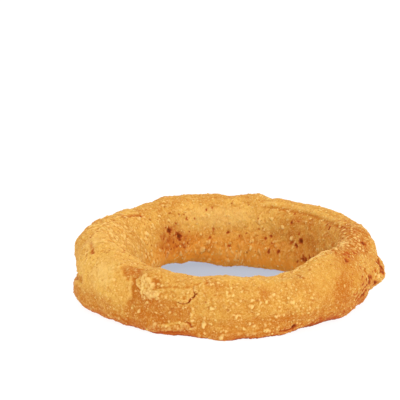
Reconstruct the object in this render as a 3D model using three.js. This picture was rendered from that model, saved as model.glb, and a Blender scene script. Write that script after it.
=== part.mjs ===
// One fried onion ring, lying flat: a thick slice of onion inside an uneven crumb crust.
//
// Frame: millimetres, +Z up, origin on the table under the middle of the ring. The ring runs
// round Z. "Around" is the angle from +X, seen from above: 0 is the ring's narrow end, 90 its
// tall side, 180 its fat end and 270 the low side, where the crust has chipped. "Section" is the
// angle round the ring's own cross-section: 0 faces outwards, 90 up, 180 into the hole, 270 down.
import * as THREE from "three";
import { ImprovedNoise } from "three/addons/math/ImprovedNoise.js";
import { mergeVertices } from "three/addons/utils/BufferGeometryUtils.js";

// Driving dimensions of the ring.
const OUTER_DIAMETER = 80;
const CUT_HEIGHT = 17;
const STEPS_AROUND = 150;
const SECTION_SIDES = 34;

// The ring's own unevenness. Each list goes once around in equal steps from the narrow end.
const OUTER_RADIUS = OUTER_DIAMETER / 2;
const SHAPE = {
  // How far the outer wall stands inside the outer radius.
  inset: [1.8, 1.3, 1.2, 1.0, 1.0, 1.2, 0.6, 0.3, 0.4, 0.7, 1.4, 2.2],
  // How thick the wall is.
  wall: [12.0, 12.2, 11.6, 11.4, 11.8, 13.4, 16.0, 15.2, 13.6, 13.2, 13.4, 13.0],
  // How tall the ring is, as a share of the cut's height.
  rise: [1.0, 1.01, 1.05, 1.1, 1.12, 1.03, 1.07, 0.97, 0.86, 0.84, 0.84, 0.92],
  // How high the underside is over the table. Where it would reach below, it is pressed flat.
  lift: [0.4, -0.6, -0.7, 0.2, 1.6, 0.6, -0.7, -0.7, -0.7, -0.7, -0.7, -0.5],
  // How far the top stands outwards of the middle.
  lean: [-1.4, 0.0, 0.6, 1.0, 0.4, 0.2, 0.2, 0.0, 0.2, 0.2, -0.2, -0.8],
  // How much further the foot of the inner wall reaches into the hole.
  slope: [0.0, 0.4, 0.4, 0.4, 0.2, 1.0, 2.2, 1.8, 0.4, 0.2, 0.2, 0.0],
  // How far the top of the inner wall is drawn back from the hole.
  brow: [0.4, 0.0, 0.0, 0.0, 0.6, 2.2, 3.6, 2.8, 0.8, 0.2, 0.0, 0.2],
  // How far the bottom outer edge is drawn in.
  foot: [2.6, 2.0, 1.2, 0.8, 0.6, 0.4, 0.0, 0.4, 0.8, 0.4, 1.6, 2.4],
  // How square the section is, where 2 is an ellipse.
  square: [1.8, 2.1, 2.4, 2.5, 2.5, 2.5, 2.6, 2.6, 2.6, 2.6, 2.4, 2.0],
};

// Where the crust is thicker or has chipped away. Each patch has its middle (around, section),
// its reach along the ring and round the section, how thick it stands, and how wide its edge is.
const PATCHES = [
  { name: "chipped face", around: 247, section: 5, along: 11, across: 4.2, thick: -0.8, edge: 1.2 },
  { name: "open seam", around: 232.5, section: 48, along: 1.3, across: 6.5, thick: -0.9, edge: 0.8 },
  { name: "crumb clump", around: 239, section: 66, along: 2.6, across: 2.6, thick: 0.8, edge: 1.0 },
  { name: "top flake", around: 252, section: 62, along: 9, across: 2.6, thick: 0.45, edge: 1.0 },
  { name: "bottom lip", around: 246, section: -48, along: 10, across: 1.9, thick: 0.6, edge: 1.2 },
  { name: "fat end's heel", around: 194, section: -46, along: 11, across: 4.8, thick: 1.6, edge: 2.0 },
  { name: "fat end's shoulder", around: 174, section: 34, along: 7, across: 4, thick: 0.7, edge: 3.0 },
  { name: "hanging flake", around: 277, section: -46, along: 12, across: 2.6, thick: 0.9, edge: 1.0 },
  { name: "narrow end's crag", around: 354, section: -10, along: 3.6, across: 3.4, thick: 1.4, edge: 1.8 },
];

// How far a patch's edge wanders, as a share of its reach, and how wide each wander is.
const RAGGED = { share: 0.35, width: 2.3 };

// Lumps of the crust at two scales: how wide they are and how far they stand out.
const LUMPS = [
  { width: 11, rise: 0.8 },
  { width: 4.6, rise: 0.4 },
];

// Points of the mesh closer than this are one point.
const SAME_POINT = 1e-4;

const noise = new ImprovedNoise();
const { clamp, degToRad, smoothstep } = THREE.MathUtils;

// One of the shape's lists at an angle around, on a smooth closed curve through its values.
function shapeAt(key, around) {
  const list = SHAPE[key];
  const place = (around / 360) * list.length;
  const value = (step) => list[(Math.floor(place) + step + list.length) % list.length];
  const t = place - Math.floor(place);
  const [a, b, c, d] = [value(-1), value(0), value(1), value(2)];
  return b + 0.5 * t * (c - a + t * (2 * a - 5 * b + 4 * c - d + t * (3 * (b - c) + d - a)));
}

// An angle brought within half a turn of zero.
function halfTurn(angle) {
  return THREE.MathUtils.euclideanModulo(angle + 180, 360) - 180;
}

// A sine or cosine drawn out towards a square, keeping its sign.
function squared(value, square) {
  return Math.sign(value) * Math.abs(value) ** (2 / square);
}

// Smooth noise at a point, with lumps of the given width.
function lumpy(point, width) {
  return noise.noise(point.x / width, point.y / width, point.z / width);
}

// How far the crust stands out at a point of the smooth ring. The radii are those of the ring's
// middle line and of its section.
function relief(point, around, section, ringRadius, sectionRadius) {
  let out = 0;
  for (const { width, rise } of LUMPS) {
    out += rise * lumpy(point, width);
  }
  const wander = RAGGED.share * lumpy(point, RAGGED.width);
  for (const patch of PATCHES) {
    const along = degToRad(halfTurn(around - patch.around)) * ringRadius;
    const across = degToRad(halfTurn(section - patch.section)) * sectionRadius;
    const away = Math.hypot(along / patch.along, across / patch.across) + wander;
    const soft = patch.edge / Math.min(patch.along, patch.across);
    out += patch.thick * (1 - smoothstep(away, 1 - soft / 2, 1 + soft / 2));
  }
  return out;
}

// The point of the crust at two angles in degrees.
function crustPoint(around, section) {
  const wall = shapeAt("wall", around);
  const lift = shapeAt("lift", around);
  const height = shapeAt("rise", around) * CUT_HEIGHT;
  const square = shapeAt("square", around);
  const middle = OUTER_RADIUS - shapeAt("inset", around) - wall / 2;
  const across = Math.cos(degToRad(section));
  const up = Math.sin(degToRad(section));
  const level = squared(up, square);
  const low = clamp(-level, 0, 1);
  const high = clamp(level, 0, 1);
  const outerHalf = clamp(0.5 + across, 0, 1);
  const innerHalf = clamp(0.5 - across, 0, 1);
  const radius =
    middle +
    (wall / 2) * squared(across, square) +
    shapeAt("lean", around) * level +
    shapeAt("brow", around) * high * innerHalf -
    shapeAt("slope", around) * low * innerHalf -
    shapeAt("foot", around) * low * outerHalf;
  const outwards = new THREE.Vector3(Math.cos(degToRad(around)), Math.sin(degToRad(around)), 0);
  const point = outwards.clone().multiplyScalar(radius);
  point.z = lift + ((height - lift) * (1 + level)) / 2;
  const normal = outwards.multiplyScalar(across).setZ(up);
  const sectionRadius = (wall + height) / 4;
  point.addScaledVector(normal, relief(point, around, section, middle, sectionRadius));
  point.z = Math.max(point.z, 0);
  return point;
}

// The ring as one closed mesh: a torus whose points are moved onto the crust. It is then centred
// on its axis and brought to its full width.
function ringGeometry() {
  const torus = new THREE.TorusGeometry(3, 1, SECTION_SIDES, STEPS_AROUND);
  const positions = torus.attributes.position;
  for (let side = 0; side <= SECTION_SIDES; side++) {
    for (let step = 0; step <= STEPS_AROUND; step++) {
      const around = (360 * (step % STEPS_AROUND)) / STEPS_AROUND;
      const section = (360 * (side % SECTION_SIDES)) / SECTION_SIDES;
      const { x, y, z } = crustPoint(around, section);
      positions.setXYZ(side * (STEPS_AROUND + 1) + step, x, y, z);
    }
  }
  torus.deleteAttribute("normal");
  torus.deleteAttribute("uv");
  const closed = mergeVertices(torus, SAME_POINT);
  closed.computeBoundingBox();
  const middle = closed.boundingBox.getCenter(new THREE.Vector3());
  const size = closed.boundingBox.getSize(new THREE.Vector3());
  closed.translate(-middle.x, -middle.y, 0);
  closed.scale(OUTER_DIAMETER / size.x, OUTER_DIAMETER / size.x, 1);
  closed.computeVertexNormals();
  return closed;
}

const crust = new THREE.MeshStandardMaterial({ color: 0xe3a04e, roughness: 0.72, metalness: 0 });
const ring = new THREE.Mesh(ringGeometry(), crust);
ring.name = "onion_ring";

const part = new THREE.Group();
part.add(ring);

export default part;
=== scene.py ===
# %% [markdown]
# # A fried onion ring
#
# A thick slice of onion is dipped in batter, rolled in fine crumbs and fried until the crust is
# golden. The solid that this lesson starts from has the ring's true size and form, but a smooth
# skin. The lesson gives it the crust: lumps of batter, crumbs, flakes, cracks, pits and the
# browning of hot oil. All of it is real mesh, so it shows from every side and at the edges.

# %% Load the solid ring as a fixed frame
import math
import bmesh
import bpy
import numpy as np
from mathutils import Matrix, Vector
from mathutils.bvhtree import BVHTree


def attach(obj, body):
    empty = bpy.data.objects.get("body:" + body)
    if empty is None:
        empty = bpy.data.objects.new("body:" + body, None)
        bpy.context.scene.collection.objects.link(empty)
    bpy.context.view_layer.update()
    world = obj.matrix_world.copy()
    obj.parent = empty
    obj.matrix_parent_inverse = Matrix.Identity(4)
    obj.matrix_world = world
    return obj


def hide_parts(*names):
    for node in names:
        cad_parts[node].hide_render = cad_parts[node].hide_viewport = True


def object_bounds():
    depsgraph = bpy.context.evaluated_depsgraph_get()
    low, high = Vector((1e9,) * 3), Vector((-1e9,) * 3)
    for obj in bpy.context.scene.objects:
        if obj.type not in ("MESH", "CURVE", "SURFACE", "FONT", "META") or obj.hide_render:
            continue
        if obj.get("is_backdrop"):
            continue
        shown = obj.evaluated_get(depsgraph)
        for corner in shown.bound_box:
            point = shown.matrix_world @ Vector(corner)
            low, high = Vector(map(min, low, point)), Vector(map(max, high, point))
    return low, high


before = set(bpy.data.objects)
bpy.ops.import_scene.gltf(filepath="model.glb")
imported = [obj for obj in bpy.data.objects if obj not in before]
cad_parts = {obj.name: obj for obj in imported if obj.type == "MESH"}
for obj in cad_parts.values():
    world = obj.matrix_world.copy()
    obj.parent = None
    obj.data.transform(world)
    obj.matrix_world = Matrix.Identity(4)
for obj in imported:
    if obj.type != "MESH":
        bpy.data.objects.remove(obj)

MM = 0.001
scene = bpy.context.scene
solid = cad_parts["onion_ring"]
cad_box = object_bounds()
ring_size = (cad_box[1] - cad_box[0]) / MM
print("the solid ring measures", [round(side, 1) for side in ring_size], "mm")

# %% [markdown]
# ## The camera
#
# Small food looks best from a little above the table and through a long lens, because a short
# one would make the near side look swollen. The camera could be pointed at the ring, but here
# the ring lies low in the view, so the camera looks over it: its turn is worked out from where
# the middle of the ring has to fall.

# %% Point a long lens over the ring
VIEW_PIXELS = 400
RING_PIXEL = (230, 295.5)
LENS = 180
SENSOR = 36
NEAREST_SEEN = 10 * MM
CAMERA_DISTANCE = 516 * MM
CAMERA_HEIGHT_ANGLE = math.radians(16.3)

pixels_per_slope = LENS / SENSOR * VIEW_PIXELS
right_of_middle = math.atan((RING_PIXEL[0] - VIEW_PIXELS / 2) / pixels_per_slope)
below_middle = math.atan((RING_PIXEL[1] - VIEW_PIXELS / 2) / pixels_per_slope)


def add_object(name, data):
    """Puts an object with its data in the scene."""
    thing = bpy.data.objects.new(name, data)
    scene.collection.objects.link(thing)
    return thing


camera_data = bpy.data.cameras.new("camera")
camera_data.lens = LENS
camera_data.sensor_width = SENSOR
camera_data.clip_start = NEAREST_SEEN
camera = add_object("camera", camera_data)
camera.location = (
    0,
    -CAMERA_DISTANCE * math.cos(CAMERA_HEIGHT_ANGLE),
    CAMERA_DISTANCE * math.sin(CAMERA_HEIGHT_ANGLE),
)
looks_down = CAMERA_HEIGHT_ANGLE - below_middle
camera.rotation_euler = (math.pi / 2 - looks_down, 0, right_of_middle)
scene.camera = camera
print("the camera looks down by", round(math.degrees(looks_down), 1), "degrees")


# %% [markdown]
# ## Helpers
#
# Materials are built from a few kinds of node again and again. Small helpers keep each step to
# one line. One of them takes plain values and links alike, so that a step needn't care which.

# %% Helpers for colours and for node trees
def colour(red, green, blue):
    """A colour given as on a screen, from 0 to 255, as the linear colour that shaders take."""
    shares = [value / 255 for value in (red, green, blue)]
    linear = [s / 12.92 if s < 0.04045 else ((s + 0.055) / 1.055) ** 2.4 for s in shares]
    return (*linear, 1)


def give(tree, node, values):
    """Gives a node's inputs, by name or number, a plain value or another node's output."""
    for name, value in values.items():
        if isinstance(value, bpy.types.NodeSocket):
            tree.links.new(value, node.inputs[name])
        else:
            node.inputs[name].default_value = value


def add_node(tree, kind, settings=None, **inputs):
    """Adds a node to a tree, with its settings, and with values or links for its inputs."""
    node = tree.nodes.new(kind)
    for name, value in (settings or {}).items():
        setattr(node, name, value)
    give(tree, node, {name.replace("_", " "): value for name, value in inputs.items()})
    return node


def mix(tree, share, first, second):
    """A mix of two colours by a share. The numbers are those of the node's colour sockets."""
    node = add_node(tree, "ShaderNodeMix", {"data_type": "RGBA"})
    give(tree, node, {0: share, 6: first, 7: second})
    return node.outputs[2]


def ranged(tree, value, low, high, least, most):
    """A value spread from one range to another, and clamped."""
    node = add_node(tree, "ShaderNodeMapRange", Value=value, From_Min=low, From_Max=high,
                    To_Min=least, To_Max=most)
    return node.outputs["Result"]


def times(tree, first, second):
    """Two values multiplied."""
    node = add_node(tree, "ShaderNodeMath", {"operation": "MULTIPLY"})
    give(tree, node, {0: first, 1: second})
    return node.outputs[0]


def new_material(name):
    """A new material, its tree, its shader, and where each point lies on the object."""
    material = bpy.data.materials.new(name)
    material.use_nodes = True
    tree = material.node_tree
    place = tree.nodes.new("ShaderNodeTexCoord").outputs["Object"]
    return material, tree, tree.nodes["Principled BSDF"], place


print("the middle grey of a screen is", round(colour(128, 128, 128)[0], 2), "as a linear colour")

# %% [markdown]
# ## Floor and light
#
# Fried food looks dry under a hard lamp and grey without one. A bright, even surround fills the
# shadows, and one very wide sun from the front right models the crumbs. The floor is only a
# stage, and it glows a little, as a lit table does, so that it stays white beside the ring. Inside
# the ring it gets a painted shadow: its colour and glow are darker and bluer, as where less of the
# sky reaches it. The edge of this painted shadow is hidden under the ring itself.

# %% Lay the floor
FLOOR_SIDE = 4.0
FLOOR_COLOUR = (0.13, 0.135, 0.14, 1)
FLOOR_GLOW = (0.92, 0.92, 0.92, 1)
# Inside the ring the floor's colour and glow are a painted shadow, darker and bluer.
PAINTED_HOLE_SHADOW_COLOUR = (0.12, 0.13, 0.14, 1)
PAINTED_HOLE_SHADOW_GLOW = (0.402, 0.44, 0.525, 1)
HOLE_MIDDLE = (-4 * MM, 4 * MM, 0)
HOLE_REACH = (30 * MM, 33.5 * MM)

floor_material, tree, shader, place = new_material("pale floor")
from_middle = add_node(tree, "ShaderNodeVectorMath", {"operation": "DISTANCE"})
give(tree, from_middle, {0: place, 1: HOLE_MIDDLE})
outside = ranged(tree, from_middle.outputs["Value"], *HOLE_REACH, 0.0, 1.0)
give(tree, shader, {
    "Base Color": mix(tree, outside, PAINTED_HOLE_SHADOW_COLOUR, FLOOR_COLOUR),
    "Emission Color": mix(tree, outside, PAINTED_HOLE_SHADOW_GLOW, FLOOR_GLOW),
    "Emission Strength": 1.0,
    "Roughness": 0.9,
    "Specular IOR Level": 0.1,
})

floor_mesh = bpy.data.meshes.new("floor")
half = FLOOR_SIDE / 2
floor_mesh.from_pydata(
    [(-half, -half, 0), (half, -half, 0), (half, half, 0), (-half, half, 0)], [], [(0, 1, 2, 3)]
)
floor_mesh.materials.append(floor_material)
floor = add_object("floor", floor_mesh)
floor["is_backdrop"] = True
print("the floor is", FLOOR_SIDE, "m wide")

# %% Light the stage
SUN_ROUND = math.radians(45)
SUN_UP = math.radians(35)
SUN_WIDTH = math.radians(50)
SUN_STRENGTH = 0.66
SURROUND_COLOUR = (1, 1, 1, 1)
SURROUND_STRENGTH = 1.0

sun_data = bpy.data.lights.new("sun", "SUN")
sun_data.energy = SUN_STRENGTH
sun_data.angle = SUN_WIDTH
sun = add_object("sun", sun_data)
towards_sun = Vector((
    math.sin(SUN_ROUND) * math.cos(SUN_UP),
    -math.cos(SUN_ROUND) * math.cos(SUN_UP),
    math.sin(SUN_UP),
))
sun.rotation_euler = towards_sun.to_track_quat("Z", "Y").to_euler()

world = bpy.data.worlds.new("surround")
world.use_nodes = True
give(world.node_tree, world.node_tree.nodes["Background"], {
    "Color": SURROUND_COLOUR,
    "Strength": SURROUND_STRENGTH,
})
scene.world = world
scene.view_settings.view_transform = "Standard"
print("the sun stands", round(math.degrees(SUN_UP)), "degrees up")

# %% [markdown]
# ## A fine skin over the solid
#
# The crust needs points every sixth of a millimetre. Subdividing the solid would keep its
# facets, and a voxel remesh would lose track of where each point lies. So a new grid is wrapped
# round the ring. It has rows around the ring and columns around its cross-section, and from the
# middle of the section each point is shot outwards until it meets the solid. Both ways the grid
# closes on itself, so every point has neighbours and no edge needs special care.

# %% Find the middle of the section all round the ring
AROUND_STEPS = 1200
SECTION_STEPS = 280
SLICES = 72
NEIGHBOURS = 8
EVENING_WIDTH = 1.6

corners = np.array([vertex.co for vertex in solid.data.vertices]) / MM
corner_angle = np.degrees(np.arctan2(corners[:, 1], corners[:, 0])) % 360
corner_radius = np.hypot(corners[:, 0], corners[:, 1])
corner_slice = (corner_angle * SLICES / 360).astype(int) % SLICES


def middle_of_slices(values):
    """Half way between the least and the most of the values in each slice, evened out."""
    slices = [values[corner_slice == number] for number in range(SLICES)]
    middles = np.array([(part.min() + part.max()) / 2 for part in slices])
    shifts = np.arange(-NEIGHBOURS, NEIGHBOURS + 1)
    weights = np.exp(-((shifts / EVENING_WIDTH) ** 2) / 2)
    shares = weights / weights.sum()
    return sum(share * np.roll(middles, shift) for share, shift in zip(shares, shifts))


around = np.arange(AROUND_STEPS) * 360 / AROUND_STEPS
section = np.arange(SECTION_STEPS) * 360 / SECTION_STEPS
slice_angle = (np.arange(SLICES) + 0.5) * 360 / SLICES
middle_radius = np.interp(around, slice_angle, middle_of_slices(corner_radius), period=360)
middle_height = np.interp(around, slice_angle, middle_of_slices(corners[:, 2]), period=360)
print("the middle of the section runs at", round(middle_radius.mean(), 1), "mm from the axis")


# %% Shoot the grid's points onto the solid
def span(values):
    """From where to where values run, in words."""
    return f"from {values.min():.2f} to {values.max():.2f}"


bvh = BVHTree.FromObject(solid, bpy.context.evaluated_depsgraph_get())
turn = np.radians(around)
tilt = np.radians(section)
reach = np.empty((AROUND_STEPS, SECTION_STEPS))
for row in range(AROUND_STEPS):
    outwards = Vector((math.cos(turn[row]), math.sin(turn[row]), 0))
    start = outwards * middle_radius[row] * MM
    start.z = middle_height[row] * MM
    for column in range(SECTION_STEPS):
        way = outwards * math.cos(tilt[column])
        way.z = math.sin(tilt[column])
        reach[row, column] = bvh.ray_cast(start, way)[3] / MM
print("shot", reach.size, "points, over", span(reach), "mm")

# %% [markdown]
# The solid is faceted, and its facets mustn't show under the crumbs. A blur takes them away.
# Because the grid closes on itself both ways, the quickest blur is a Fourier transform: fine
# detail is the high frequencies, which are simply turned down.

# %% Blur the facets away
STEP_AROUND = 2 * math.pi * middle_radius.mean() / AROUND_STEPS
STEP_SECTION = 2 * math.pi * reach.mean() / SECTION_STEPS
FACET_BLUR = 0.8


def blur(field, width):
    """A field over the grid, blurred over a width in millimetres."""
    rate_around = np.fft.fftfreq(AROUND_STEPS, STEP_AROUND)[:, None]
    rate_section = np.fft.rfftfreq(SECTION_STEPS, STEP_SECTION)[None, :]
    keep = np.exp(-2 * (math.pi * width) ** 2 * (rate_around**2 + rate_section**2))
    return np.fft.irfft2(np.fft.rfft2(field) * keep, s=field.shape)


reach = blur(reach, FACET_BLUR)
out_x = np.cos(turn)[:, None]
out_y = np.sin(turn)[:, None]
radius = middle_radius[:, None] + reach * np.cos(tilt)[None, :]
height = middle_height[:, None] + reach * np.sin(tilt)[None, :]
skin = np.stack([out_x * radius, out_y * radius, height], axis=-1)
print("the grid's steps are", round(STEP_AROUND, 2), "by", round(STEP_SECTION, 2), "mm")


# %% Measure the skin's directions
def unit(vectors):
    """Vectors brought to a length of one."""
    return vectors / np.linalg.norm(vectors, axis=-1, keepdims=True)


skin_along = unit(np.roll(skin, -1, 0) - np.roll(skin, 1, 0))
skin_across = unit(np.roll(skin, -1, 1) - np.roll(skin, 1, 1))
skin_out = unit(np.cross(skin_along, skin_across))
step_along = np.linalg.norm(np.roll(skin, -1, 0) - skin, axis=-1)
step_across = np.linalg.norm(np.roll(skin, -1, 1) - skin, axis=-1)
patch_area = step_along * step_across
print("the skin measures", round(patch_area.sum() / 100), "cm2")
faces_outwards = (skin_out[..., 0] * out_x + skin_out[..., 1] * out_y)[:, 0].mean()
print("its outer wall faces outwards by", round(faces_outwards, 2))

# %% [markdown]
# ## Noise
#
# Batter runs and swells without any pattern, so its lumps come from noise: random slopes at the
# corners of a cubic lattice, smoothly blended in between. It is worked out for the whole grid at
# once, which takes a tenth of a second where a loop over the points takes many.

# %% Smooth noise for every point of the grid
LATTICE_KEYS = np.array([73856093, 19349663, 83492791])
HASH_FACTOR = 60493
HASH_MASK = 0x3FFFFFFF
SLOPE_BITS = 1023
SEED_SHIFT = 31.7
NOISE_GAIN = 1.6


def noise(points, width, seed):
    """Noise from about -1 to 1 at each point, with lumps of the given width in millimetres."""
    place = points / width + seed * SEED_SHIFT
    low = np.floor(place)
    inside = place - low
    fade = inside**3 * (inside * (inside * 6 - 15) + 10)
    total = np.zeros(points.shape[:-1])
    for corner in np.ndindex(2, 2, 2):
        key = ((low + corner).astype(np.int64) * LATTICE_KEYS).sum(axis=-1)
        key = ((key ^ (key >> 13)) * HASH_FACTOR) & HASH_MASK
        key = ((key ^ (key >> 11)) * HASH_FACTOR) & HASH_MASK
        slopes = [((key >> shift) & SLOPE_BITS) * 2 / SLOPE_BITS - 1 for shift in (0, 10, 20)]
        away = inside - corner
        rise = sum(slopes[axis] * away[..., axis] for axis in range(3))
        share = np.prod(np.where(corner, fade, 1 - fade), axis=-1)
        total += share * rise
    return total * NOISE_GAIN


def noise_sum(layers):
    """Several noises over the skin, each given as its strength, its width and its seed."""
    return sum(strength * noise(skin, width, seed) for strength, width, seed in layers)


def step(low, high, value):
    """0 below low, 1 above high, and smooth between."""
    share = np.clip((value - low) / (high - low), 0, 1)
    return share * share * (3 - 2 * share)


def bell(value, middle, width):
    """1 in the middle, and fading out to both sides."""
    return np.exp(-(((value - middle) / width) ** 2))


wander = noise_sum([(1.0, 1.5, 3), (0.6, 0.7, 4)])
print("noise runs", span(wander))

# %% [markdown]
# ## Places on the ring
#
# Every feature is placed by two angles, as on the solid. "Around" runs from the narrow end, and
# "section" runs round the cross-section: 0 faces outwards, 90 up, 180 into the hole and -90
# down. Close to a place, distances are measured straight, along the skin's own directions. Four
# kinds of mask follow from that: a broad region, an oval, a line along the ring and an outline.

# %% Measure from places on the ring
ALL_ROUND = (-360, 360)

arc = np.cumsum(step_across, axis=1) - step_across
girth = step_across.sum(axis=1, keepdims=True)


def grid_place(around_degrees, section_degrees):
    """The row and column of the grid at a place."""
    row = round(around_degrees / 360 * AROUND_STEPS) % AROUND_STEPS
    column = round(section_degrees / 360 * SECTION_STEPS) % SECTION_STEPS
    return row, column


def half_turn(angle):
    """An angle brought within half a turn of zero."""
    return (angle + 180) % 360 - 180


def from_place(around_degrees, section_degrees):
    """Millimetres along the ring and round its section from a place, for the whole grid."""
    row, column = grid_place(around_degrees, section_degrees)
    along = np.radians(half_turn(around - around[row]))[:, None] * radius
    across = arc - arc[:, column][:, None]
    across = (across + girth / 2) % girth - girth / 2
    return along, across


def region(runs, sections, soft=12.0):
    """A soft mask over a stretch of the ring: from and to around, and from and to in section."""
    off_around = np.abs(half_turn(around - (runs[0] + runs[1]) / 2))[:, None]
    off_section = np.abs(half_turn(section - (sections[0] + sections[1]) / 2))[None, :]
    off_around = off_around - (runs[1] - runs[0]) / 2
    off_section = off_section - (sections[1] - sections[0]) / 2
    return (1 - step(-soft / 2, soft / 2, off_around)) * (1 - step(-soft, soft, off_section))


def oval(place, size, edge, ragged=0.3):
    """A mask that is 1 inside a ragged oval of a given half length and half width."""
    along, across = from_place(*place)
    away = np.hypot(along / size[0], across / size[1]) + ragged * wander
    soft = edge / min(size)
    return 1 - step(1 - soft / 2, 1 + soft / 2, away)


def from_line(places, fade=6.0):
    """Millimetres round the section from a line along the ring, and how far the line counts."""
    runs, sections = zip(*places)
    line = np.interp(around, runs, sections)[:, None]
    across = half_turn(section[None, :] - line) * step_across * SECTION_STEPS / 360
    starts = step(runs[0], runs[0] + fade, around)
    ends = 1 - step(runs[-1] - fade, runs[-1], around)
    return across, (starts * ends)[:, None]


print("the ring is", round(float(girth.mean()), 1), "mm round its section")

# %% Measure from outlines
ROUNDINGS = 2
TINY = 1e-12


def cut_corners(starts, ends):
    """The points at a quarter and at three quarters of each of a row of lines."""
    cut = np.stack([0.75 * starts + 0.25 * ends, 0.25 * starts + 0.75 * ends], axis=1)
    return cut.reshape(-1, starts.shape[1])


def outline(places, soft=0.3, ragged=0.16):
    """A mask that is 1 inside a closed outline through places, with rounded, ragged corners."""
    middle = np.mean(places, axis=0)
    along, across = from_place(*middle)
    spots = tuple(zip(*[grid_place(*place) for place in places]))
    corners = np.stack([along[spots], across[spots]], axis=-1)
    for _ in range(ROUNDINGS):
        corners = cut_corners(corners, np.roll(corners, -1, 0))
    spread = np.abs(corners).max(axis=0) + 1
    near = (np.abs(along) < spread[0]) & (np.abs(across) < spread[1])
    x, y = along[near], across[near]
    closest = np.full(x.shape, np.inf)
    inside = np.zeros(x.shape, bool)
    for (x0, y0), (x1, y1) in zip(corners, np.roll(corners, -1, 0)):
        share = ((x - x0) * (x1 - x0) + (y - y0) * (y1 - y0)) / ((x1 - x0) ** 2 + (y1 - y0) ** 2)
        share = np.clip(share, 0, 1)
        gap = np.hypot(x - x0 - share * (x1 - x0), y - y0 - share * (y1 - y0))
        closest = np.minimum(closest, gap)
        crosses = (y0 > y) != (y1 > y)
        inside ^= crosses & (x < x0 + (y - y0) * (x1 - x0) / (y1 - y0 + TINY))
    away = np.where(inside, -closest, closest) + ragged * wander[near]
    mask = np.zeros(along.shape)
    mask[near] = 1 - step(-soft / 2, soft / 2, away)
    return mask


print("an outline gets", 2**ROUNDINGS, "points for each place on it")

# %% [markdown]
# ## Batter
#
# Under the crumbs the batter is lumpy at every scale. Three sizes of noise are enough. Where it
# ran over an edge it made thin flakes: noise again, but cut at a level, so that it stands up as
# a low plateau with a sharp, wandering edge. Along the tall side the batter rolled over the top
# of the inner wall and set as a rounded band with a crease below it.

# %% Lumps and flakes
# Each noise is given as its strength, its width and its seed.
LUMPS = [(0.24, 4.2, 11), (0.12, 1.9, 12), (0.06, 1.0, 13)]
FLAKES = [(1.0, 6.5, 21), (0.35, 2.2, 22), (0.15, 0.9, 23)]
FLAKE_EDGES = [(0.16, 0.26), (0.48, 0.58)]
FLAKE_RISE = 0.12
# Two places have more lumps: around, section, and then strength, width and seed.
MORE_LUMPS = [((150, 216), (60, 136), 0.10, 2.4, 14), ((60, 150), (84, 170), 0.12, 1.7, 15)]

relief = noise_sum(LUMPS)
for runs, sections, strength, width, seed in MORE_LUMPS:
    relief += strength * noise(skin, width, seed) * region(runs, sections)
flake_field = noise_sum(FLAKES)
relief += sum(FLAKE_RISE * step(*edge, flake_field) for edge in FLAKE_EDGES)
print("lumps and flakes run", span(relief), "mm")

# %% The rolled rim and its crease
CREASE = [(6, 107), (19, 112), (30, 110.5), (37, 110.5), (45, 109), (52, 108), (58, 109),
          (66, 112), (76, 113)]
ROLL_RISE = 0.32
CREASE_DEPTH = 0.24
crease_across, crease_share = from_line(CREASE, fade=10)
# Distances from the crease are in millimetres, and less than zero on the rolled side.
rim_band = crease_share * step(0.0, 0.5, -crease_across) * (1 - step(1.6, 2.6, -crease_across))
crease_line = crease_share * bell(crease_across, 0.2, 0.5)
relief += crease_share * ROLL_RISE * bell(crease_across, -1.1, 1.0)
relief -= CREASE_DEPTH * crease_line
print("the crease runs over", CREASE[-1][0] - CREASE[0][0], "degrees of the ring")

# %% Swells and hollows
SWELL_EDGE = 1.6
SWELLS = [
    # place, half length and width, how far it stands out
    ((134, 72), (5.0, 3.5), -0.7), ((12, 56), (6.0, 3.5), 0.8), ((48, 80), (9.0, 3.0), 0.5),
    ((88, 79), (2.5, 2.5), -0.5), ((76, 72), (2.5, 2.5), 0.5), ((212, -52), (7.0, 2.4), -0.5),
    ((342, -58), (4.0, 2.4), 0.2), ((196, -32), (6.0, 3.0), 0.2), ((222, 30), (5.0, 4.0), 0.2),
    ((74, 222), (13.0, 4.0), 1.9), ((348, -12), (2.5, 2.5), 0.8), ((328, -62), (4.0, 2.5), 1.0),
    ((266, -56), (4.0, 2.5), 0.8), ((222, -54), (5.0, 2.5), 0.4), ((142, 228), (5.0, 3.5), 1.1),
    ((121, 240), (7.0, 4.0), 0.7), ((319, 106), (9.5, 3.5), 0.9), ((238, -52), (6.0, 2.4), 0.5),
    ((347, -34), (3.0, 2.2), -0.6), ((350, -7), (2.2, 2.2), 0.4), ((343, -55), (2.5, 2.0), 0.6),
    ((225, 92), (4.5, 3.0), -1.1), ((288, 105), (9.5, 3.0), -0.45),
    ((296, 104), (4.0, 3.0), -0.4), ((90, 236), (4.0, 3.0), 0.5), ((106, 236), (3.0, 3.0), -0.5),
]
for place, size, high in SWELLS:
    relief += high * oval(place, size, SWELL_EDGE * min(size), ragged=0.1)
print("the batter runs", span(relief), "mm")

# %% [markdown]
# ## Where the crust is hurt
#
# A ring that is shaken in its basket loses crust. On the low side a face has chipped off under a
# ledge, a channel has opened beside a clump of crumbs, and a flake hangs at the foot. The solid
# has these forms already, but soft. Here they get crisp, ragged edges, and their own looks,
# through numbers that every point carries: "broad" runs from straw, -1, to orange, 1, and later
# also carries painted shade and painted light, "fried" is how red-brown the crust is, from
# browning and, at the foot, the cracks and the lip, from painted shade, and "bare" is how few
# crumbs stick to it.

# %% Outlines of the flakes and scars
broad = np.zeros(relief.shape)
fried = np.zeros(relief.shape)
bare = np.zeros(relief.shape)

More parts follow.
